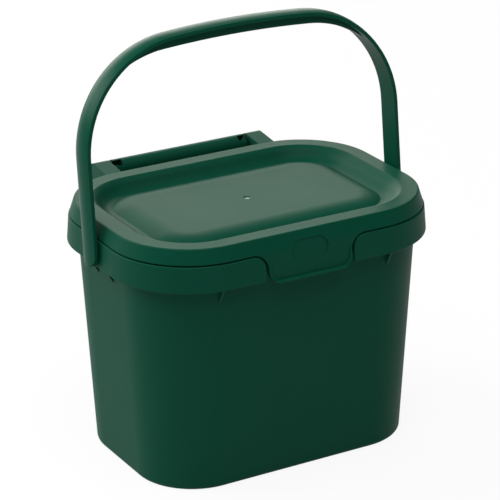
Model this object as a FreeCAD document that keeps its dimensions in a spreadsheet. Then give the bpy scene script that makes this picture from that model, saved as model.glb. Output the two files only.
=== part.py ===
import FreeCAD, Part
import math
import os
import re
import Sketcher

# A kitchen caddy for food scraps: a tapered bin with a collar, a hinged lid and a swinging bail.
# Millimetres and degrees, +Z up, front at -Y, origin under the middle of the base.

SIZES = {
    # Outline of the collar at its lower edge, from which every other ring is set in
    "collar_width": 242,
    "collar_depth": 175,
    "collar_corner": 60.5,
    "collar_height": 18.6,
    "collar_lean": 1.46,
    "collar_wall": 2,
    "collar_edge_round": 0.8,
    # Bin
    "bin_height": 172.9,
    "bin_wall": 2,
    "bin_floor": 2.4,
    "base_inset": 16.9,
    "wall_inset": 8.1,
    "base_edge_round": 3,
    "floor_edge_round": 6,
    "upstand": 4.4,
    # Gap in the collar for the lid's tab
    "notch_width": 69.6,
    "notch_flare": 9.5,
    "notch_back": 4.6,
    # Stiffening ribs under the collar
    "rib_thickness": 1.6,
    "rib_drop": 13,
    "rib_front_spacing": 133,
    "rib_side_spacing": 22,
    # Lid
    "parting_gap": 1.1,
    "skirt_step": 0.7,
    "skirt_lean": 3.4,
    "lid_wall": 2,
    "rim_rise": 10.4,
    "rim_round": 1.2,
    "rim_band": 10.95,
    "cove_width": 14.9,
    "cove_drop": 8.5,
    "cove_start": 18,
    "cove_slope": 52,
    "pillow_width": 16,
    "pillow_rise": 3.8,
    "gate_radius": 3,
    "gate_floor": 0.8,
    "gate_depth": 0.4,
    # Tab at the front of the lid
    "tab_gap": 2.1,
    "tab_drop": 22.1,
    "tab_corner": 9,
    "tab_blend": 25,
    "lip_width": 1.8,
    "lip_reach": 2.6,
    "lip_fade": 8,
    "lip_round": 1.3,
    "badge_length": 28.6,
    "badge_height": 15.1,
    "badge_depth": 0.3,
    "badge_level": 2.4,
    # Hinge at the back
    "hinge_back": 12.5,
    "hinge_rise": 7.1,
    "hinge_radius": 6.75,
    "barrel_length": 109.3,
    "arm_gap": 2.3,
    "arm_width": 12.6,
    "arm_bite": 1.6,
    "hinge_pin": 2.4,
    "hinge_pin_length": 7.2,
    "slot_clearance": 0.3,
    "slot_length": 6.5,
    "slot_tilt": 33,
    "shelf_thickness": 2,
    "web_thickness": 5,
    "gusset_thickness": 2,
    "gusset_drop": 12,
    "gusset_spacing": 34,
    "gusset_count": 4,
    # Bail handle, measured from its pivot
    "pivot_drop": 9.9,
    "handle_side_gap": 0.7,
    "handle_rise": 140.8,
    "handle_corner": 74,
    "handle_crown": 681,
    "handle_lean": 5.9,
    "leg_draft": 0.4,
    "strap_width": 18,
    "strap_thickness": 4.4,
    "strap_edge": 2.5,
    "grip_depth": 6.5,
    "grip_crown": 806,
    "grip_ease": 6,
    "grip_spread": 4.7,
    "grip_width": 8.6,
    "grip_round": 2,
    "pivot_pin": 3.5,
    "pivot_clearance": 0.3,
    "pivot_head": 4.4,
    "pivot_head_gap": 0.8,
    "pivot_head_length": 1.4,
    # How far a cut runs on into the open
    "overcut": 5,
}

# Sizes that follow from the driving ones
DERIVED = {
    "half_width": "collar_width / 2",
    "half_depth": "collar_depth / 2",
    "collar_bottom": "bin_height - collar_height",
    "lean": "collar_lean / collar_height",
    "lean_root": "sqrt(1 + lean * lean)",
    "wall_slope": "(base_inset - wall_inset) / collar_bottom",
    "bin_top": "bin_height + upstand",
    "flange_wall": "base_inset - wall_slope * bin_height",
    "lid_bottom": "bin_height + parting_gap",
    "rim_top": "lid_bottom + rim_rise",
    "skirt_inset": "collar_lean + lean * parting_gap + skirt_step",
    "skirt_slope": "skirt_lean / rim_rise",
    "skirt_root": "sqrt(1 + skirt_slope * skirt_slope)",
    "rim_run": "rim_round * (skirt_root - skirt_slope)",
    "rim_inset": "skirt_inset + skirt_lean + rim_run",
    "cove_inset": "rim_inset + rim_band",
    "crease_inset": "cove_inset + cove_width",
    "pillow_inset": "crease_inset + pillow_width",
    "crease_level": "rim_top - cove_drop",
    "pillow_level": "crease_level + pillow_rise",
    "start_run": "sin(cove_slope) - sin(cove_start)",
    "start_fall": "cos(cove_start) - cos(cove_slope)",
    "foot_fall": "1 - cos(cove_slope)",
    "cove_scale": "start_run * foot_fall - sin(cove_slope) * start_fall",
    "cove_top_radius": "(cove_width * foot_fall - cove_drop * sin(cove_slope)) / cove_scale",
    "cove_foot_radius": "(cove_drop * start_run - cove_width * start_fall) / cove_scale",
    "cove_turn_inset": "cove_inset + cove_top_radius * start_run",
    "cove_turn_level": "rim_top - cove_top_radius * start_fall",
    "pillow_radius": "(pillow_width * pillow_width + pillow_rise * pillow_rise) / (2 * pillow_rise)",
    "gate_curve": "((gate_radius - gate_floor)^2 + gate_depth^2) / (2 * gate_depth)",
    "tab_half": "notch_width / 2 - tab_gap",
    "tab_flare": "notch_flare + tab_gap",
    "tab_bottom": "lid_bottom - tab_drop",
    "tab_root": "half_depth - skirt_inset",
    "tab_foot": "tab_root + lean * tab_drop",
    "blend_run": "tab_blend * tan((atan(skirt_slope) - atan(lean)) / 2)",
    "lip_front": "tab_foot + lip_reach",
    "lip_top": "tab_bottom + tab_corner + lip_fade",
    "badge_foot": "lid_bottom - badge_level - badge_height / 2",
    "badge_front": "tab_root + lean * (lid_bottom - badge_foot)",
    "badge_slope": "(badge_front - tab_root + skirt_slope * (badge_height / 2 - badge_level)) / badge_height",
    "hinge_y": "half_depth + hinge_back",
    "hinge_z": "bin_height + hinge_rise",
    "slot_half": "hinge_pin + slot_clearance",
    "slot_run": "sin(slot_tilt)",
    "slot_climb": "cos(slot_tilt)",
    "slot_reach": "hinge_radius + overcut",
    "barrel_half": "barrel_length / 2",
    "arm_inner": "barrel_half + arm_gap",
    "pivot_z": "bin_height - pivot_drop",
    "pivot_skin": "half_width - lean * (pivot_z - collar_bottom) - collar_wall",
    "strap_half": "strap_width / 2",
    "crown_rise": "strap_thickness - strap_edge",
    "crown_radius": "(strap_half * strap_half + crown_rise * crown_rise) / (2 * crown_rise)",
    "handle_half": "half_width + handle_side_gap",
    "corner_x": "handle_half - leg_draft - handle_corner",
    "sweep_cosine": "corner_x / (handle_crown - handle_corner)",
    "sweep_sine": "sqrt(1 - sweep_cosine * sweep_cosine)",
    "leg_height": "handle_rise - handle_crown + (handle_crown - handle_corner) * sweep_sine",
    "leg_span": "sqrt((handle_corner + leg_draft)^2 + leg_height^2)",
    "leg_turn": "acos(handle_corner / leg_span) - atan(leg_height / (handle_corner + leg_draft))",
    "leg_foot": "handle_half + strap_half * tan(leg_turn)",
    "knee_x": "corner_x + handle_corner * cos(leg_turn)",
    "knee_z": "leg_height + handle_corner * sin(leg_turn)",
    "shoulder_x": "handle_crown * sweep_cosine",
    "shoulder_z": "leg_height + handle_corner * sweep_sine",
    "seat": "strap_edge / 2",
    "seat_corner": "handle_corner + seat",
    "grip_low": "handle_rise - grip_depth",
    "grip_corner": "handle_corner + grip_ease",
    "grip_arm": "grip_crown - grip_corner",
    "grip_cosine": "(corner_x + grip_spread) / grip_arm",
    "grip_sine": "sqrt(1 - grip_cosine * grip_cosine)",
    "grip_centre_z": "grip_low - grip_crown + grip_arm * grip_sine",
    "grip_fall": "leg_height - grip_centre_z",
    "grip_span": "sqrt(grip_spread^2 + grip_fall^2)",
    "grip_along": "(seat_corner^2 - grip_corner^2 + grip_span^2) / (2 * grip_span)",
    "grip_across": "sqrt(seat_corner^2 - grip_along^2)",
    "grip_end_x": "corner_x + (grip_along * grip_spread + grip_across * grip_fall) / grip_span",
    "grip_end_z": "leg_height + (grip_across * grip_spread - grip_along * grip_fall) / grip_span",
}

# How near two levels count as the same
TOUCH = 0.1

document = FreeCAD.newDocument("kitchen_caddy")
sheet = document.addObject("Spreadsheet::Sheet", "Sizes")
for row, (name, size) in enumerate(SIZES.items(), start=1):
    sheet.set(f"A{row}", name)
    sheet.set(f"B{row}", str(size))
    sheet.setAlias(f"B{row}", name)
document.recompute()


def bound(text):
    """Turn a formula in plain size names into one that reads the sheet."""
    def replace(match):
        word = match.group(0)
        if word in DERIVED:
            return f"({bound(DERIVED[word])})"
        return f"Sizes.{word}" if word in SIZES else word
    return re.sub(r"[a-z_]+", replace, text)


def value(text):
    return float(sheet.evalExpression(bound(text)))


def new_body(name):
    body = document.addObject("PartDesign::Body", name)
    body.Label = name
    return body


def origin_feature(body, role):
    return next(item for item in body.Origin.OriginFeatures if item.Role == role)


def new_sketch(body, name, plane, offset="0"):
    """Sketch on a base plane, moved along the plane's normal."""
    sketch = body.newObject("Sketcher::SketchObject", name)
    sketch.AttachmentSupport = [(origin_feature(body, plane), "")]
    sketch.MapMode = "FlatFace"
    sketch.setExpression("AttachmentOffset.Base.z", bound(offset))
    return sketch


def pin_point(sketch, geometry, point, place):
    """Hold one sketch point at coordinates given as formulas."""
    for kind, axis, text in (("DistanceX", -2, place[0]), ("DistanceY", -1, place[1])):
        if text == "0":
            sketch.addConstraint(Sketcher.Constraint("PointOnObject", geometry, point, axis))
            continue
        rule = Sketcher.Constraint(kind, geometry, point, value(text))
        index = sketch.addConstraint(rule)
        sketch.setExpression(f"Constraints[{index}]", bound(text))


def fix_radius(sketch, geometry, text):
    index = sketch.addConstraint(Sketcher.Constraint("Radius", geometry, value(text)))
    sketch.setExpression(f"Constraints[{index}]", bound(text))


def draw_edge(sketch, start, end, bend):
    """Add a line, or an arc of a given radius turning left or right; return it and its ends."""
    first = FreeCAD.Vector(value(start[0]), value(start[1]), 0)
    last = FreeCAD.Vector(value(end[0]), value(end[1]), 0)
    if not bend:
        return sketch.addGeometry(Part.LineSegment(first, last)), 1, 2
    radius, turn = value(bend[0]), bend[1]
    chord = last - first
    side = FreeCAD.Vector(-chord.y, chord.x, 0).normalize()
    rise = math.sqrt(max(radius ** 2 - chord.Length ** 2 / 4, 0))
    centre = (first + last) / 2 + side * rise * (1 if turn == "left" else -1)
    begin, finish = (first, last) if turn == "left" else (last, first)
    angles = [math.atan2(point.y - centre.y, point.x - centre.x) for point in (begin, finish)]
    circle = Part.Circle(centre, FreeCAD.Vector(0, 0, 1), radius)
    arc = sketch.addGeometry(Part.ArcOfCircle(circle, angles[0], angles[1]))
    fix_radius(sketch, arc, bend[0])
    return (arc, 1, 2) if turn == "left" else (arc, 2, 1)


def draw(sketch, points, closed=True):
    """Draw an outline; a point may carry the radius and turn of the arc that leaves it."""
    ends = points[1:] + points[:1] if closed else points[1:]
    edges = [draw_edge(sketch, start[:2], end[:2], start[2:]) for start, end in zip(points, ends)]
    for (edge, first, _), point in zip(edges, points):
        pin_point(sketch, edge, first, point[:2])
    if not closed:
        edge, _, last = edges[-1]
        pin_point(sketch, edge, last, points[-1][:2])
    followers = edges[1:] + edges[:1] if closed else edges[1:]
    for (edge, _, last), (follower, first, _) in zip(edges, followers):
        sketch.addConstraint(Sketcher.Constraint("Coincident", edge, last, follower, first))
    return sketch


def draw_ring(sketch, inset):
    """Rounded rectangle set in from the collar's outline, starting halfway up the right side."""
    x, y, r = f"half_width - ({inset})", f"half_depth - ({inset})", f"collar_corner - ({inset})"
    flat_x, flat_y = "half_width - collar_corner", "half_depth - collar_corner"
    return draw(sketch, [
        (x, "0"),
        (x, flat_y, r, "left"),
        (flat_x, y),
        (f"-({flat_x})", y, r, "left"),
        (f"-({x})", flat_y),
        (f"-({x})", f"-({flat_y})", r, "left"),
        (f"-({flat_x})", f"-({y})"),
        (flat_x, f"-({y})", r, "left"),
        (x, f"-({flat_y})"),
    ])


def draw_circle(sketch, x, y, radius):
    centre = FreeCAD.Vector(value(x), value(y), 0)
    circle = sketch.addGeometry(Part.Circle(centre, FreeCAD.Vector(0, 0, 1), value(radius)))
    fix_radius(sketch, circle, radius)
    pin_point(sketch, circle, 3, (x, y))
    return sketch


def extrude(body, kind, sketch, length, side="One side", back=False):
    feature = body.newObject(f"PartDesign::{kind}", f"{sketch.Name}_{kind.lower()}")
    feature.Profile = sketch
    feature.SideType = side
    feature.Reversed = back
    feature.setExpression("Length", bound(length))
    return settle(body, feature)


def groove(body, sketch):
    """Turn a profile once round its sketch's upright axis and cut it away."""
    feature = body.newObject("PartDesign::Groove", f"{sketch.Name}_groove")
    feature.Profile = sketch
    feature.ReferenceAxis = (sketch, ["V_Axis"])
    feature.Angle = 360
    return settle(body, feature)


def sweep(body, section, path):
    feature = body.newObject("PartDesign::AdditivePipe", f"{section.Name}_sweep")
    feature.Profile = section
    feature.Spine = (path, [f"Edge{index + 1}" for index in range(len(path.Geometry))])
    return settle(body, feature)


def loft(body, kind, lower, upper):
    feature = body.newObject(f"PartDesign::{kind}", f"{lower.Name}_loft")
    feature.Profile = lower
    feature.Sections = [upper]
    feature.Ruled = True
    return settle(body, feature)


def mirror(body, originals, plane):
    feature = body.newObject("PartDesign::Mirrored", f"{originals[0].Name}_pair")
    feature.Originals = originals
    feature.MirrorPlane = (origin_feature(body, plane), [""])
    return settle(body, feature)


def round_edges(body, base, wanted, radius):
    """Round the edges that a test picks out."""
    names = [f"Edge{i}" for i, edge in enumerate(base.Shape.Edges, start=1) if wanted(edge.BoundBox)]
    feature = body.newObject("PartDesign::Fillet", f"{base.Name}_round")
    feature.Base = (base, names)
    feature.setExpression("Radius", bound(radius))
    return settle(body, feature)


def settle(body, feature):
    """Make a feature the body's tip; it has to leave a sound solid and change the one before it."""
    body.Tip = feature
    document.recompute()
    assert feature.isValid() and feature.Shape.isValid(), feature.Name
    assert len(feature.Shape.Solids) == 1, f"{feature.Name} is in {len(feature.Shape.Solids)} pieces"
    base = getattr(feature, "BaseFeature", None)
    change = feature.Shape.Volume - (base.Shape.Volume if base else 0)
    assert abs(change) > 1e-3, f"{feature.Name} changes nothing"
    return feature


# Bin: tapered wall with a rounded foot, hollowed out
bin_body = new_body("bin")
base_ring = draw_ring(new_sketch(bin_body, "base_ring", "XY_Plane"), "base_inset")
top_ring = draw_ring(new_sketch(bin_body, "top_ring", "XY_Plane", "bin_top"),
                     "base_inset - wall_slope * bin_top")
wall = loft(bin_body, "AdditiveLoft", base_ring, top_ring)
wall = round_edges(bin_body, wall, lambda box: box.ZMax < TOUCH, "base_edge_round")
floor_ring = draw_ring(new_sketch(bin_body, "floor_ring", "XY_Plane", "bin_floor"),
                       "base_inset + bin_wall - wall_slope * bin_floor")
mouth_ring = draw_ring(new_sketch(bin_body, "mouth_ring", "XY_Plane", "bin_top"),
                       "base_inset + bin_wall - wall_slope * bin_top")
hollow = loft(bin_body, "SubtractiveLoft", floor_ring, mouth_ring)
floor_level = value("bin_floor")
round_edges(bin_body, hollow, lambda box: abs(box.ZMax - floor_level) < TOUCH and box.ZLength < TOUCH,
            "floor_edge_round")

# Collar: a flange that leaves the wall below the mouth and turns down
collar_path = draw_ring(new_sketch(bin_body, "collar_path", "XY_Plane", "collar_bottom"), "0")
collar_section = draw(new_sketch(bin_body, "collar_section", "XZ_Plane"), [
    ("half_width", "collar_bottom"),
    ("half_width - collar_lean", "bin_height"),
    ("half_width - flange_wall - bin_wall / 2", "bin_height"),
    ("half_width - flange_wall - bin_wall / 2", "bin_height - collar_wall"),
    ("half_width - collar_lean - collar_wall", "bin_height - collar_wall"),
    ("half_width - collar_wall", "collar_bottom"),
])
sweep(bin_body, collar_section, collar_path)

# Notch in the front of the collar, flared at the top, for the lid's tab
notch = new_sketch(bin_body, "notch", "XZ_Plane", "half_depth - notch_back")
draw(notch, [
    ("-notch_width / 2", "collar_bottom - overcut"),
    ("notch_width / 2", "collar_bottom - overcut"),
    ("notch_width / 2", "bin_height - notch_flare", "notch_flare", "right"),
    ("notch_width / 2 + notch_flare", "bin_height"),
    ("notch_width / 2 + notch_flare", "bin_height + overcut"),
    ("-(notch_width / 2 + notch_flare)", "bin_height + overcut"),
    ("-(notch_width / 2 + notch_flare)", "bin_height", "notch_flare", "right"),
    ("-notch_width / 2", "bin_height - notch_flare"),
])
notch_pocket = extrude(bin_body, "Pocket", notch, "notch_back + overcut", back=True)

# Soft edges round the collar's outer face, top and foot, and down the sides of the notch
collar_reach, collar_front = value("half_width - collar_lean"), value("half_depth - collar_lean")
notch_reach = value("notch_width / 2 + notch_flare")


def on_collar_edge(box):
    by_notch = max(box.XMax, -box.XMin) < notch_reach + TOUCH
    if by_notch and box.YLength > max(box.XLength, box.ZLength):
        return False
    if by_notch and box.ZLength > TOUCH:
        return box.YMax < TOUCH - collar_front
    wide = max(box.XMax, -box.XMin) > collar_reach - TOUCH
    deep = max(box.YMax, -box.YMin) > collar_front - TOUCH
    return (wide or deep) and box.ZLength < TOUCH


round_edges(bin_body, notch_pocket, on_collar_edge, "collar_edge_round")

# Ribs that tie the collar to the wall, front and back, then each side of the pivots
rib_top = "bin_height - collar_wall / 2"
rib_foot = "collar_bottom - rib_drop"


def rib_outline(reach):
    """Triangle from the flange down to the wall, on a side this far from the middle."""
    inner = f"{reach} - base_inset - bin_wall / 2"
    skin = f"{reach} - collar_wall / 2"
    return [
        (f"{skin} - lean * (collar_height - collar_wall / 2)", rib_top),
        (f"{inner} + wall_slope * ({rib_top})", rib_top),
        (f"{inner} + wall_slope * ({rib_foot})", rib_foot),
        (f"{skin} - collar_wall / 2", "collar_bottom + collar_wall / 2"),
        (f"{skin} - lean * collar_wall / 2", "collar_bottom + collar_wall / 2"),
    ]


def mirrored_outline(points):
    return [(f"-({x})", z) for x, z in points]


end_ribs = new_sketch(bin_body, "end_ribs", "YZ_Plane", "rib_front_spacing / 2")
draw(end_ribs, rib_outline("half_depth"))
draw(end_ribs, mirrored_outline(rib_outline("half_depth")))
end_rib_pad = extrude(bin_body, "Pad", end_ribs, "rib_thickness", side="Symmetric")
mirror(bin_body, [end_rib_pad], "YZ_Plane")
side_ribs = new_sketch(bin_body, "side_ribs", "XZ_Plane", "rib_side_spacing / 2")
draw(side_ribs, rib_outline("half_width"))
draw(side_ribs, mirrored_outline(rib_outline("half_width")))
side_rib_pad = extrude(bin_body, "Pad", side_ribs, "rib_thickness", side="Symmetric")
mirror(bin_body, [side_rib_pad], "XZ_Plane")

# Holes in the collar for the bail's pins
pivot_hole = new_sketch(bin_body, "pivot_hole", "YZ_Plane", "pivot_skin - collar_wall")
draw_circle(pivot_hole, "0", "pivot_z", "pivot_pin + pivot_clearance")
pivot_pocket = extrude(bin_body, "Pocket", pivot_hole, "collar_wall + overcut", back=True)
mirror(bin_body, [pivot_pocket], "YZ_Plane")

# Hinge carrier behind the collar: shelf, web, barrel and gussets
carrier_root = "half_depth - collar_lean - collar_wall / 2"
carrier = draw(new_sketch(bin_body, "carrier", "YZ_Plane"), [
    (carrier_root, "bin_height"),
    (carrier_root, "bin_height - shelf_thickness"),
    ("hinge_y + web_thickness / 2", "bin_height - shelf_thickness"),
    ("hinge_y + web_thickness / 2", "hinge_z"),
    ("hinge_y - web_thickness / 2", "hinge_z"),
    ("hinge_y - web_thickness / 2", "bin_height"),
])
extrude(bin_body, "Pad", carrier, "barrel_length", side="Symmetric")
barrel = draw_circle(new_sketch(bin_body, "barrel", "YZ_Plane"), "hinge_y", "hinge_z", "hinge_radius")
extrude(bin_body, "Pad", barrel, "barrel_length", side="Symmetric")
gusset = new_sketch(bin_body, "gusset", "YZ_Plane", "gusset_spacing * (gusset_count - 1) / 2")
draw(gusset, [
    (carrier_root, "bin_height - shelf_thickness / 2"),
    ("half_depth - lean * (collar_height - gusset_drop) - collar_wall / 2", "bin_height - gusset_drop"),
    ("hinge_y + web_thickness / 2", "bin_height - shelf_thickness / 2"),
])
gusset_pad = extrude(bin_body, "Pad", gusset, "gusset_thickness", side="Symmetric")
gussets = bin_body.newObject("PartDesign::LinearPattern", "gussets")
gussets.Originals = [gusset_pad]
gussets.Direction = (origin_feature(bin_body, "X_Axis"), [""])
gussets.Reversed = True
gussets.setExpression("Length", bound("gusset_spacing * (gusset_count - 1)"))
gussets.setExpression("Occurrences", bound("gusset_count"))
settle(bin_body, gussets)

# Slots in the barrel's ends, open to the front and top, where the lid's pins press in
for side, sign in (("right", ""), ("left", "-")):
    slot = new_sketch(bin_body, f"{side}_slot", "YZ_Plane", f"{sign}(barrel_half - slot_length)")
    draw(slot, [
        ("hinge_y - slot_half * slot_climb", "hinge_z - slot_half * slot_run", "slot_half", "left"),
        ("hinge_y + slot_half * slot_run", "hinge_z - slot_half * slot_climb", "slot_half", "left"),
        ("hinge_y + slot_half * slot_climb", "hinge_z + slot_half * slot_run"),
        ("hinge_y + slot_half * slot_climb - slot_reach * slot_run",
         "hinge_z + slot_half * slot_run + slot_reach * slot_climb"),
        ("hinge_y - slot_half * slot_climb - slot_reach * slot_run",
         "hinge_z - slot_half * slot_run + slot_reach * slot_climb"),
    ])
    extrude(bin_body, "Pocket", slot, "slot_length + overcut", back=side == "right")

# Lid: one wall carried round the outline, with leaning skirt, flat rim, cove, crease and pillow
lid_body = new_body("lid")
lid_path = draw_ring(new_sketch(lid_body, "lid_path", "XY_Plane", "rim_top"), "rim_inset")


def lid_x(inset):
    return f"half_width - ({inset})"


inner_corner = "skirt_inset + skirt_slope * (rim_rise - lid_wall) + lid_wall * skirt_root"
lid_section = draw(new_sketch(lid_body, "lid_section", "XZ_Plane"), [
    (lid_x("skirt_inset"), "lid_bottom"),
    (lid_x("skirt_inset + skirt_lean - rim_run * skirt_slope / skirt_root"),
     "rim_top - rim_run / skirt_root", "rim_round", "left"),
    (lid_x("rim_inset"), "rim_top"),
    (lid_x("cove_inset"), "rim_top", "cove_top_radius", "left"),
    (lid_x("cove_turn_inset"), "cove_turn_level", "cove_foot_radius", "right"),
    (lid_x("crease_inset"), "crease_level", "pillow_radius", "left"),
    (lid_x("pillow_inset"), "pillow_level"),
    (lid_x("pillow_inset"), "pillow_level - lid_wall", "pillow_radius", "right"),
    (lid_x("crease_inset"), "crease_level - lid_wall", "cove_foot_radius + lid_wall", "left"),
    (lid_x("cove_turn_inset - lid_wall * sin(cove_slope)"),
     "cove_turn_level - lid_wall * cos(cove_slope)", "cove_top_radius - lid_wall", "right"),
    (lid_x("cove_inset - lid_wall * sin(cove_start)"), "rim_top - lid_wall * cos(cove_start)"),
    (lid_x(inner_corner), "rim_top - lid_wall"),
    (lid_x("skirt_inset + lid_wall * skirt_root"), "lid_bottom"),
])
sweep(lid_body, lid_section, lid_path)
plate = draw_ring(new_sketch(lid_body, "plate", "XY_Plane", "pillow_level - lid_wall"), "pillow_inset")
extrude(lid_body, "Pad", plate, "lid_wall")

# Shallow mark of the moulding gate in the middle of the lid
gate = draw(new_sketch(lid_body, "gate", "XZ_Plane"), [
    ("0", "pillow_level - gate_depth"),
    ("gate_floor", "pillow_level - gate_depth", "gate_curve", "left"),
    ("gate_radius", "pillow_level"),
    ("gate_radius", "pillow_level + overcut"),
    ("0", "pillow_level + overcut"),
])
groove(lid_body, gate)

# Tab that carries the skirt's front face down through the notch, blended where the lean changes
tab = draw(new_sketch(lid_body, "tab", "YZ_Plane"), [
    ("-tab_root", "lid_bottom"),
    ("-tab_foot", "tab_bottom"),
    ("-(tab_foot - lid_wall * lean_root)", "tab_bottom"),
    ("-(tab_root - lid_wall * lean_root)", "lid_bottom"),
])
extrude(lid_body, "Pad", tab, "2 * (tab_half + tab_flare)", side="Symmetric")
blend = draw(new_sketch(lid_body, "blend", "YZ_Plane"), [
    ("-(tab_root + blend_run * lean / lean_root)", "lid_bottom - blend_run / lean_root",
     "tab_blend", "right"),
    ("-(tab_root - blend_run * skirt_slope / skirt_root)", "lid_bottom + blend_run / skirt_root"),
    ("-(tab_root + overcut)", "lid_bottom"),
])
extrude(lid_body, "Pocket", blend, "2 * (tab_half + tab_flare)", side="Symmetric")


def cheek(sign):
    """What is cut away beside the tab, leaving a flare above and a round corner below."""
    turns = ("left", "right") if sign == "" else ("right", "left")
    side = f"{sign}(tab_half)"
    outer = f"{sign}(tab_half + tab_flare + overcut)"
    below = "tab_bottom - overcut"
    return [
        (side, "lid_bottom - tab_flare", "tab_flare", turns[1]),
        (f"{sign}(tab_half + tab_flare)", "lid_bottom"),
        (outer, "lid_bottom"),
        (outer, below),
        (f"{sign}(tab_half - tab_corner)", below),
        (f"{sign}(tab_half - tab_corner)", "tab_bottom", "tab_corner", turns[0]),
        (side, "tab_bottom + tab_corner"),
    ]


cheeks = new_sketch(lid_body, "cheeks", "XZ_Plane", "half_depth - collar_corner")
draw(cheeks, cheek(""))
draw(cheeks, cheek("-"))
extrude(lid_body, "Pocket", cheeks, "collar_corner + overcut", back=True)

# Finger lip along the tab's lower edge, rounded above, turning up at the corners and fading out
lip_corner = "tab_corner - lip_width"
lip = draw(new_sketch(lid_body, "lip", "XZ_Plane", "tab_root"), [
    ("-tab_half", "lip_top"),
    ("-tab_half", "tab_bottom + tab_corner", "tab_corner", "left"),
    ("-(tab_half - tab_corner)", "tab_bottom"),
    ("tab_half - tab_corner", "tab_bottom", "tab_corner", "left"),
    ("tab_half", "tab_bottom + tab_corner"),
    ("tab_half", "lip_top"),
    ("tab_half - lip_width", "lip_top"),
    ("tab_half - lip_width", "tab_bottom + tab_corner", lip_corner, "right"),
    ("tab_half - tab_corner", "tab_bottom + lip_width"),
    ("-(tab_half - tab_corner)", "tab_bottom + lip_width", lip_corner, "right"),
    ("-(tab_half - lip_width)", "tab_bottom + tab_corner"),
    ("-(tab_half - lip_width)", "lip_top"),
])
extrude(lid_body, "Pad", lip, "lip_front - tab_root")
fade = draw(new_sketch(lid_body, "fade", "YZ_Plane"), [
    ("-(lip_front + overcut)", "tab_bottom + lip_width - lip_round"),
    ("-lip_front", "tab_bottom + lip_width - lip_round", "lip_round", "right"),
    ("-(lip_front - lip_round)", "tab_bottom + lip_width"),
    ("-(tab_root + lean * (lid_bottom - lip_top))", "lip_top"),
    ("-(lip_front + overcut)", "lip_top"),
])
extrude(lid_body, "Pocket", fade, "2 * (tab_half + overcut)", side="Symmetric")

# Flat bare place for a badge, let into the bend between the skirt and the tab
badge = new_sketch(lid_body, "badge", "XZ_Plane")
badge.AttachmentOffset = FreeCAD.Placement(FreeCAD.Vector(), FreeCAD.Rotation(FreeCAD.Vector(1, 0, 0), 1))
badge.setExpression("AttachmentOffset.Base.z", bound("badge_front + overcut"))
badge.setExpression("AttachmentOffset.Base.y", bound("badge_foot"))
badge.setExpression("AttachmentOffset.Rotation.Angle", bound("-atan(badge_slope)"))
badge_end = "(badge_length - badge_height) / 2"
draw(badge, [
    (f"-({badge_end})", "0"),
    (badge_end, "0", "badge_height / 2", "left"),
    ("badge_length / 2", "badge_height / 2", "badge_height / 2", "left"),
    (badge_end, "badge_height"),
    (f"-({badge_end})", "badge_height", "badge_height / 2", "left"),
    ("-badge_length / 2", "badge_height / 2", "badge_height / 2", "left"),
])
extrude(lid_body, "Pocket", badge, "badge_depth + overcut * cos(atan(badge_slope))")

# Hinge arms, let into the skirt and the rim, with their pins
arm_skin = "half_depth - skirt_inset - arm_bite * skirt_root"
for side, sign in (("right", ""), ("left", "-")):
    arm = draw(new_sketch(lid_body, f"{side}_arm", "YZ_Plane", f"{sign}(arm_inner)"), [
        (f"{arm_skin} - skirt_slope * lid_wall / 2", "lid_bottom + lid_wall / 2"),
        ("hinge_y", "hinge_z - hinge_radius", "hinge_radius", "left"),
        ("hinge_y + hinge_radius", "hinge_z", "hinge_radius", "left"),
        ("hinge_y", "hinge_z + hinge_radius"),
        ("half_depth - rim_inset", "rim_top"),
        ("half_depth - rim_inset - lid_wall", "rim_top - lid_wall / 2"),
        (f"{arm_skin} - skirt_slope * (rim_rise - lid_wall)", "rim_top - lid_wall"),
    ])
    extrude(lid_body, "Pad", arm, "arm_width", back=side == "left")
    pin = new_sketch(lid_body, f"{side}_pin", "YZ_Plane", f"{sign}(arm_inner + arm_width / 2)")
    draw_circle(pin, "hinge_y", "hinge_z", "hinge_pin")
    extrude(lid_body, "Pad", pin, "arm_width / 2 + hinge_pin_length", back=side == "right")

# Bail handle about its own pivot: a crowned strap bent into an arch, the legs leaning in a little
handle_body = new_body("handle")
arch = draw(new_sketch(handle_body, "arch", "XZ_Plane"), [
    ("leg_foot", "-strap_half"),
    ("knee_x", "knee_z", "handle_corner", "left"),
    ("shoulder_x", "shoulder_z", "handle_crown", "left"),
    ("-(shoulder_x)", "shoulder_z", "handle_corner", "left"),
    ("-(knee_x)", "knee_z"),
    ("-(leg_foot)", "-strap_half"),
], closed=False)
strap = draw(new_sketch(handle_body, "strap", "XY_Plane", "-strap_half"), [
    ("leg_foot", "-strap_half"),
    ("leg_foot + strap_edge", "-strap_half", "crown_radius", "left"),
    ("leg_foot + strap_edge", "strap_half"),
    ("leg_foot", "strap_half"),
])
sweep(handle_body, strap, arch)

# Round feet at the pivots
ends = new_sketch(handle_body, "ends", "YZ_Plane")
for sign, turn in (("", "left"), ("-", "right")):
    draw(ends, [
        ("0", "-strap_half", "strap_half", turn),
        (f"{sign}(strap_half)", "0"),
        (f"{sign}(strap_half + overcut)", "0"),
        (f"{sign}(strap_half + overcut)", "-(strap_half + overcut)"),
        ("0", "-(strap_half + overcut)"),
    ])
extrude(handle_body, "Pocket", ends, "2 * (handle_half + strap_thickness + overcut)", side="Symmetric")

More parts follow.
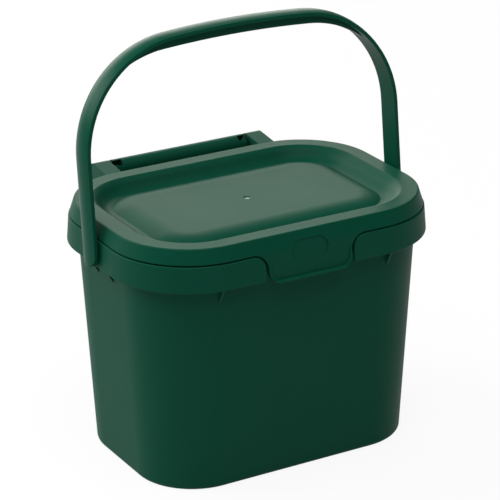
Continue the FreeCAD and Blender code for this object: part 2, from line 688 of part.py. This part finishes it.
# Grip rib under the top of the arch, its underside bent round at the ends until it meets the strap
seat_x, seat_z = "(handle_crown + seat) * sweep_cosine", "shoulder_z + seat * sweep_sine"
turn_x, turn_z = "grip_crown * grip_cosine", "grip_centre_z + grip_corner * grip_sine"
grip = draw(new_sketch(handle_body, "grip", "XZ_Plane"), [
    ("grip_end_x", "grip_end_z", "seat_corner", "left"),
    (seat_x, seat_z, "handle_crown + seat", "left"),
    (f"-({seat_x})", seat_z, "seat_corner", "left"),
    ("-(grip_end_x)", "grip_end_z", "grip_corner", "right"),
    (f"-({turn_x})", turn_z, "grip_crown", "right"),
    (turn_x, turn_z, "grip_corner", "right"),
])
grip_pad = extrude(handle_body, "Pad", grip, "grip_width", side="Symmetric")
grip_level, grip_reach = value("grip_low"), value(turn_x)
round_edges(handle_body, grip_pad,
            lambda box: box.XLength > grip_reach and box.ZMax < grip_level + TOUCH, "grip_round")

# Pins that turn in the collar, each with a snap head behind it
pivot = draw_circle(new_sketch(handle_body, "pivot", "YZ_Plane", "handle_half + seat"), "0", "0", "pivot_pin")
pivot_pad = extrude(handle_body, "Pad", pivot, "handle_half + seat - pivot_skin + pivot_head_gap", back=True)
snap = draw_circle(new_sketch(handle_body, "snap", "YZ_Plane", "pivot_skin - pivot_head_gap"),
                   "0", "0", "pivot_head")
snap_pad = extrude(handle_body, "Pad", snap, "pivot_head_length", back=True)
mirror(handle_body, [pivot_pad, snap_pad], "YZ_Plane")

# The bail stands in the collar, leaning back a little
handle_body.Placement = FreeCAD.Placement(FreeCAD.Vector(), FreeCAD.Rotation(FreeCAD.Vector(1, 0, 0), -1))
handle_body.setExpression("Placement.Base.z", bound("pivot_z"))
handle_body.setExpression("Placement.Rotation.Angle", bound("-handle_lean"))
document.recompute()

# Nothing is written unless every object is sound
for item in document.Objects:
    assert not {"Invalid", "Error"} & set(item.State), f"{item.Label}: {item.State}"
pieces = (bin_body, lid_body, handle_body)
for piece in pieces:
    assert not piece.Shape.isNull() and piece.Shape.isValid(), piece.Label
    assert len(piece.Shape.Solids) == 1, piece.Label
os.makedirs("parts", exist_ok=True)
for piece in pieces:
    piece.Shape.exportStep(f"parts/{piece.Label}.step")
    box = piece.Shape.BoundBox
    print(f"{piece.Label}: {box.XLength:.1f} x {box.YLength:.1f} x {box.ZLength:.1f} mm,",
          f"z {box.ZMin:.1f} to {box.ZMax:.1f}, {piece.Shape.Volume / 1000:.1f} cm3")
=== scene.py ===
# %% [markdown]
# # A kitchen caddy in green plastic
#
# The object is a small lidded tub for food scraps: three mouldings in one dark green plastic, a tub,
# a dished lid and a bail handle. The shapes come ready made, to scale and in metres, so this lesson
# is about finish, light and camera. Each step says what the real thing looks like, how it could be
# done, and why it is done this way.

# %% Load the three mouldings
import math

import bpy
from mathutils import Matrix, Vector

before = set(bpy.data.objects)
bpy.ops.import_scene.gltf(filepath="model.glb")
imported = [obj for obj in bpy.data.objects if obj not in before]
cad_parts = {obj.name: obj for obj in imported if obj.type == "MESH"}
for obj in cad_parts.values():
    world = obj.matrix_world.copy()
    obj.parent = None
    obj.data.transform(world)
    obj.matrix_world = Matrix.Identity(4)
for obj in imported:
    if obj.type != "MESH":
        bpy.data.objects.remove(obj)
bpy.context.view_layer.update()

for name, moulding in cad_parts.items():
    print(f"{name}: {len(moulding.data.polygons)} faces")

# %% [markdown]
# ## Formulas that turn into nodes
#
# A moulded surface varies a little everywhere, and those variations are easiest to read as formulas.
# Wiring each Math node by hand hides the formula, so a small class wraps a node's output and gives it
# ordinary operators: adding two wires adds a Math node. Every other node comes from one method, which
# sets the node's options first and then fills or links its sockets.

# %% A wire that can be used in a formula
class Wire:
    """An output socket; arithmetic on it adds Math nodes to the same material."""

    def __init__(self, tree, socket=None):
        self.tree = tree
        self.socket = socket

    def node(self, kind, settings=None, output=0, **inputs):
        """Add one node: its type, its options, then its sockets by name, or by number after a _."""
        made = self.tree.nodes.new(kind)
        for option, choice in (settings or {}).items():
            setattr(made, option, choice)
        for label, given in inputs.items():
            key = int(label[1:]) if label[0] == "_" else label.replace("_", " ")
            if isinstance(given, Wire):
                self.tree.links.new(given.socket, made.inputs[key])
            else:
                made.inputs[key].default_value = given
        return Wire(self.tree, made.outputs[output]) if made.outputs else made

    def maths(self, operation, first, second):
        return self.node("ShaderNodeMath", {"operation": operation}, _0=first, _1=second)

    def __add__(self, other):
        return self.maths("ADD", self, other)

    def __radd__(self, other):
        return self.maths("ADD", other, self)

    def __sub__(self, other):
        return self.maths("SUBTRACT", self, other)

    def __rsub__(self, other):
        return self.maths("SUBTRACT", other, self)

    def __mul__(self, other):
        return self.maths("MULTIPLY", self, other)

    def __rmul__(self, other):
        return self.maths("MULTIPLY", other, self)

    def __gt__(self, other):
        return self.maths("GREATER_THAN", self, other)

    def __lt__(self, other):
        return self.maths("LESS_THAN", self, other)


def blank_material(name):
    """A material with nothing in it, and a wire to start building from."""
    finish = bpy.data.materials.new(name)
    finish.use_nodes = True
    finish.node_tree.nodes.clear()
    return finish, Wire(finish.node_tree)


print("wires ready")

# %% [markdown]
# ## The green plastic
#
# The plastic is polypropylene, coloured right through, out of a mould with a fine matt texture. Close
# to, it has a grain of about a third of a millimetre; from further off, faint clouds where the melt
# flowed. It could be one flat colour with a roughness value, but then nothing changes as the light
# moves. Here the grain is a bump and the clouds shift the colour and the gloss by a few percent. The
# texture scatters most of the mirror light, so the specular level is low.
#
# A moulding has two kinds of skin. The outside comes off the finer half of the tool, the inside off
# the core, which is left rougher. A face is on the outside when it looks away from a point at the
# heart of the piece, so one dot product tells the two apart, and no face has to be picked by hand. The
# lid is nearly flat, so its point lies well below it. The bail is the smoothest, on both sides alike.
#
# In the middle of the lid is the gate mark, a dimple where the plastic was shot in and the nozzle left a
# shiny bottom. A clear coat does that, kept inside a small ball by the distance from its centre.
#
# No moulded edge is quite sharp either. Modelling a radius of half a millimetre along every edge would
# cost thousands of faces, so a Bevel node bends the shading there and the edges catch the light.

# %% One recipe for all three mouldings
DEEP_GREEN = (0.0006, 0.0465, 0.0255, 1)
PALE_GREEN = (0.0012, 0.0555, 0.031, 1)
SPECULAR = 0.06
CLOUD_SIZE, CLOUD_DETAIL = 0.05, 3.0
CLOUD_TINT, CLOUD_GLOSS = 0.5, 0.08
GRAIN_SIZE, GRAIN_DETAIL = 0.00035, 2.0
GRAIN_GLOSS, GRAIN_STRENGTH = 0.04, 0.5
NOISE_MEAN = 0.5
EDGE_RADIUS, EDGE_SAMPLES = 0.0006, 6
GATE_RADIUS, GATE_SHINE = 0.0016, 0.5


def moulded_plastic(name, heart, gloss, core_gloss, grain_height, gate=None):
    """Green plastic: gloss values are mean roughness outside and inside, lengths are in metres."""
    finish, start = blank_material(name)
    place = start.node("ShaderNodeTexCoord", output="Object")
    facing = start.node("ShaderNodeTexCoord", output="Normal")
    clouds = start.node("ShaderNodeTexNoise", Vector=place, Scale=1 / CLOUD_SIZE, Detail=CLOUD_DETAIL)
    grain = start.node("ShaderNodeTexNoise", Vector=place, Scale=1 / GRAIN_SIZE, Detail=GRAIN_DETAIL)
    from_heart = start.node("ShaderNodeVectorMath", {"operation": "SUBTRACT"}, _0=place, _1=heart)
    look = start.node("ShaderNodeVectorMath", {"operation": "DOT_PRODUCT"}, output="Value",
                      _0=facing, _1=from_heart)
    outside = look > 0
    cloud_shift, grain_shift = clouds - NOISE_MEAN, grain - NOISE_MEAN
    skin = core_gloss + (gloss - core_gloss) * outside
    roughness = skin + CLOUD_GLOSS * cloud_shift + GRAIN_GLOSS * grain_shift
    # a colour Mix has its two colours in sockets 6 and 7 and gives the mixed one as output 2
    colour = start.node("ShaderNodeMix", {"data_type": "RGBA"}, output=2,
                        _0=cloud_shift * CLOUD_TINT + NOISE_MEAN, _6=DEEP_GREEN, _7=PALE_GREEN)
    soft_edge = start.node("ShaderNodeBevel", {"samples": EDGE_SAMPLES}, Radius=EDGE_RADIUS)
    bump = start.node("ShaderNodeBump", Height=grain, Distance=grain_height, Strength=GRAIN_STRENGTH,
                      Normal=soft_edge)
    shine = {}
    if gate:
        off_gate = start.node("ShaderNodeVectorMath", {"operation": "DISTANCE"}, output="Value",
                              _0=place, _1=gate)
        shine["Coat_Weight"] = GATE_SHINE - GATE_SHINE * (off_gate > GATE_RADIUS)
    shader = start.node("ShaderNodeBsdfPrincipled", Base_Color=colour, Roughness=roughness,
                        Normal=bump, Specular_IOR_Level=SPECULAR, **shine)
    start.node("ShaderNodeOutputMaterial", Surface=shader)
    return finish


print(f"grain {1000 * GRAIN_SIZE:g} mm, clouds {1000 * CLOUD_SIZE:g} mm")

# %% A finish for each moulding
finishes = {
    "bin": moulded_plastic("tub_plastic", heart=(0, 0, 0.09), gloss=0.5, core_gloss=0.62,
                           grain_height=0.00006),
    "lid": moulded_plastic("lid_plastic", heart=(0, 0, -0.5), gloss=0.46, core_gloss=0.62,
                           grain_height=0.00005, gate=(0, -0.0006, 0.1793)),
    "handle": moulded_plastic("bail_plastic", heart=(0, 0.007, 0.225), gloss=0.36, core_gloss=0.36,
                              grain_height=0.00003),
}
for name, finish in finishes.items():
    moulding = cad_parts[name]
    moulding.data.materials.clear()
    moulding.data.materials.append(finish)
    print(f"{name} wears {finish.name}")

# %% [markdown]
# ## The floor
#
# The caddy stands on a seamless white sheet. A plane much larger than the view does it. Lighting the
# sheet until it is white would wash out the green, so its paint is mixed with a white glow that shows
# only to the camera, in reflections and through anything clear. The rest is paint, which still takes
# the caddy's shadow.

# %% A white sheet to stand on
FLOOR_REACH = 4.0
WHITE, PALE_GREY = (1, 1, 1, 1), (0.7, 0.7, 0.7, 1)
GLOW_SHARE = 0.9
corners = [(-FLOOR_REACH, -FLOOR_REACH, 0), (FLOOR_REACH, -FLOOR_REACH, 0),
           (FLOOR_REACH, FLOOR_REACH, 0), (-FLOOR_REACH, FLOOR_REACH, 0)]
floor_mesh = bpy.data.meshes.new("floor")
floor_mesh.from_pydata(corners, [], [(0, 1, 2, 3)])
floor = bpy.data.objects.new("floor", floor_mesh)
bpy.context.scene.collection.objects.link(floor)
sheet, start = blank_material("white_sheet")
paint = start.node("ShaderNodeBsdfDiffuse", Color=PALE_GREY)
glow = start.node("ShaderNodeEmission", Color=WHITE, Strength=1.0)
seen = start.node("ShaderNodeLightPath", output="Is Camera Ray")
mirrored = start.node("ShaderNodeLightPath", output="Is Glossy Ray")
through = start.node("ShaderNodeLightPath", output="Is Transmission Ray")
showing = GLOW_SHARE * (seen + mirrored + through)
blend = start.node("ShaderNodeMixShader", _0=showing, _1=paint, _2=glow)
start.node("ShaderNodeOutputMaterial", Surface=blend)
floor_mesh.materials.append(sheet)
print(f"floor {2 * FLOOR_REACH:g} m square")

# %% [markdown]
# ## The light
#
# The rim and the top of the lid shine softly and a little warm, the left side is paler than the front,
# and the front and right are deep green: the big light is behind, low enough to skim the lid, with a
# soft one overhead and another on the left. Area lamps of about the size of real softboxes give those
# broad, soft edges. A dim even world fills the shadows.

# %% Softboxes and a dim room
PLAIN_LIGHT, WARM_LIGHT = (1, 1, 1), (1, 0.985, 0.94)
ROOM_LEVEL = 0.2


def softbox(name, place, aim, size, watts, tint=PLAIN_LIGHT):
    """A flat lamp of this width and height, turned to face a point."""
    lamp = bpy.data.lights.new(name, "AREA")
    lamp.shape = "RECTANGLE"
    lamp.size, lamp.size_y = size
    lamp.energy = watts
    lamp.color = tint
    stand = bpy.data.objects.new(name, lamp)
    stand.location = place
    stand.rotation_euler = (Vector(aim) - Vector(place)).to_track_quat("-Z", "Y").to_euler()
    bpy.context.scene.collection.objects.link(stand)
    print(f"{name}: {watts} W, {size[0]:g} by {size[1]:g} m")


softbox("overhead", place=(-0.3, -0.6, 2.1), aim=(0, 0, 0), size=(1.8, 1.8), watts=41)
softbox("back", place=(0.2, 2.6, 1.0), aim=(0, 0, 0.2), size=(3.6, 1.6), watts=64, tint=WARM_LIGHT)
softbox("left", place=(-1.8, 1.4, 1.5), aim=(0, 0, 0.1), size=(1.6, 1.4), watts=58)
world = bpy.data.worlds.new("dim_room")
bpy.context.scene.world = world
world.use_nodes = True
backdrop = world.node_tree.nodes["Background"]
backdrop.inputs["Color"].default_value = WHITE
backdrop.inputs["Strength"].default_value = ROOM_LEVEL

# %% [markdown]
# ## The camera
#
# The picture was taken from the front left and a little above, from about 1.8 metres with a long lens,
# so the sides hardly converge. The camera's direction is given as an angle round the object and an
# angle up, its distance and lens in real units, and a slight roll of the horizon.

# %% Long lens from the front left
AZIMUTH, ELEVATION, ROLL = math.radians(-29.93), math.radians(22.03), math.radians(-0.43)
DISTANCE = 1.7769
SENSOR_MM, LENS_MM = 36, 180.9
AIM = Vector((0.00195, -0.00055, 0.1398))
away = Vector((math.sin(AZIMUTH) * math.cos(ELEVATION), -math.cos(AZIMUTH) * math.cos(ELEVATION),
               math.sin(ELEVATION)))
level = Vector((math.cos(AZIMUTH), math.sin(AZIMUTH), 0))
upright = away.cross(level)
right = math.cos(ROLL) * level + math.sin(ROLL) * upright
up = math.cos(ROLL) * upright - math.sin(ROLL) * level
lens = bpy.data.cameras.new("camera")
lens.sensor_width = SENSOR_MM
lens.lens = LENS_MM
camera = bpy.data.objects.new("camera", lens)
turn = Matrix((right, up, away)).transposed()
camera.matrix_world = Matrix.LocRotScale(AIM + DISTANCE * away, turn, None)
bpy.context.scene.collection.objects.link(camera)
bpy.context.scene.camera = camera
bpy.context.scene.view_settings.view_transform = "Standard"
print(f"camera {DISTANCE:.2f} m away, {lens.lens:g} mm lens")
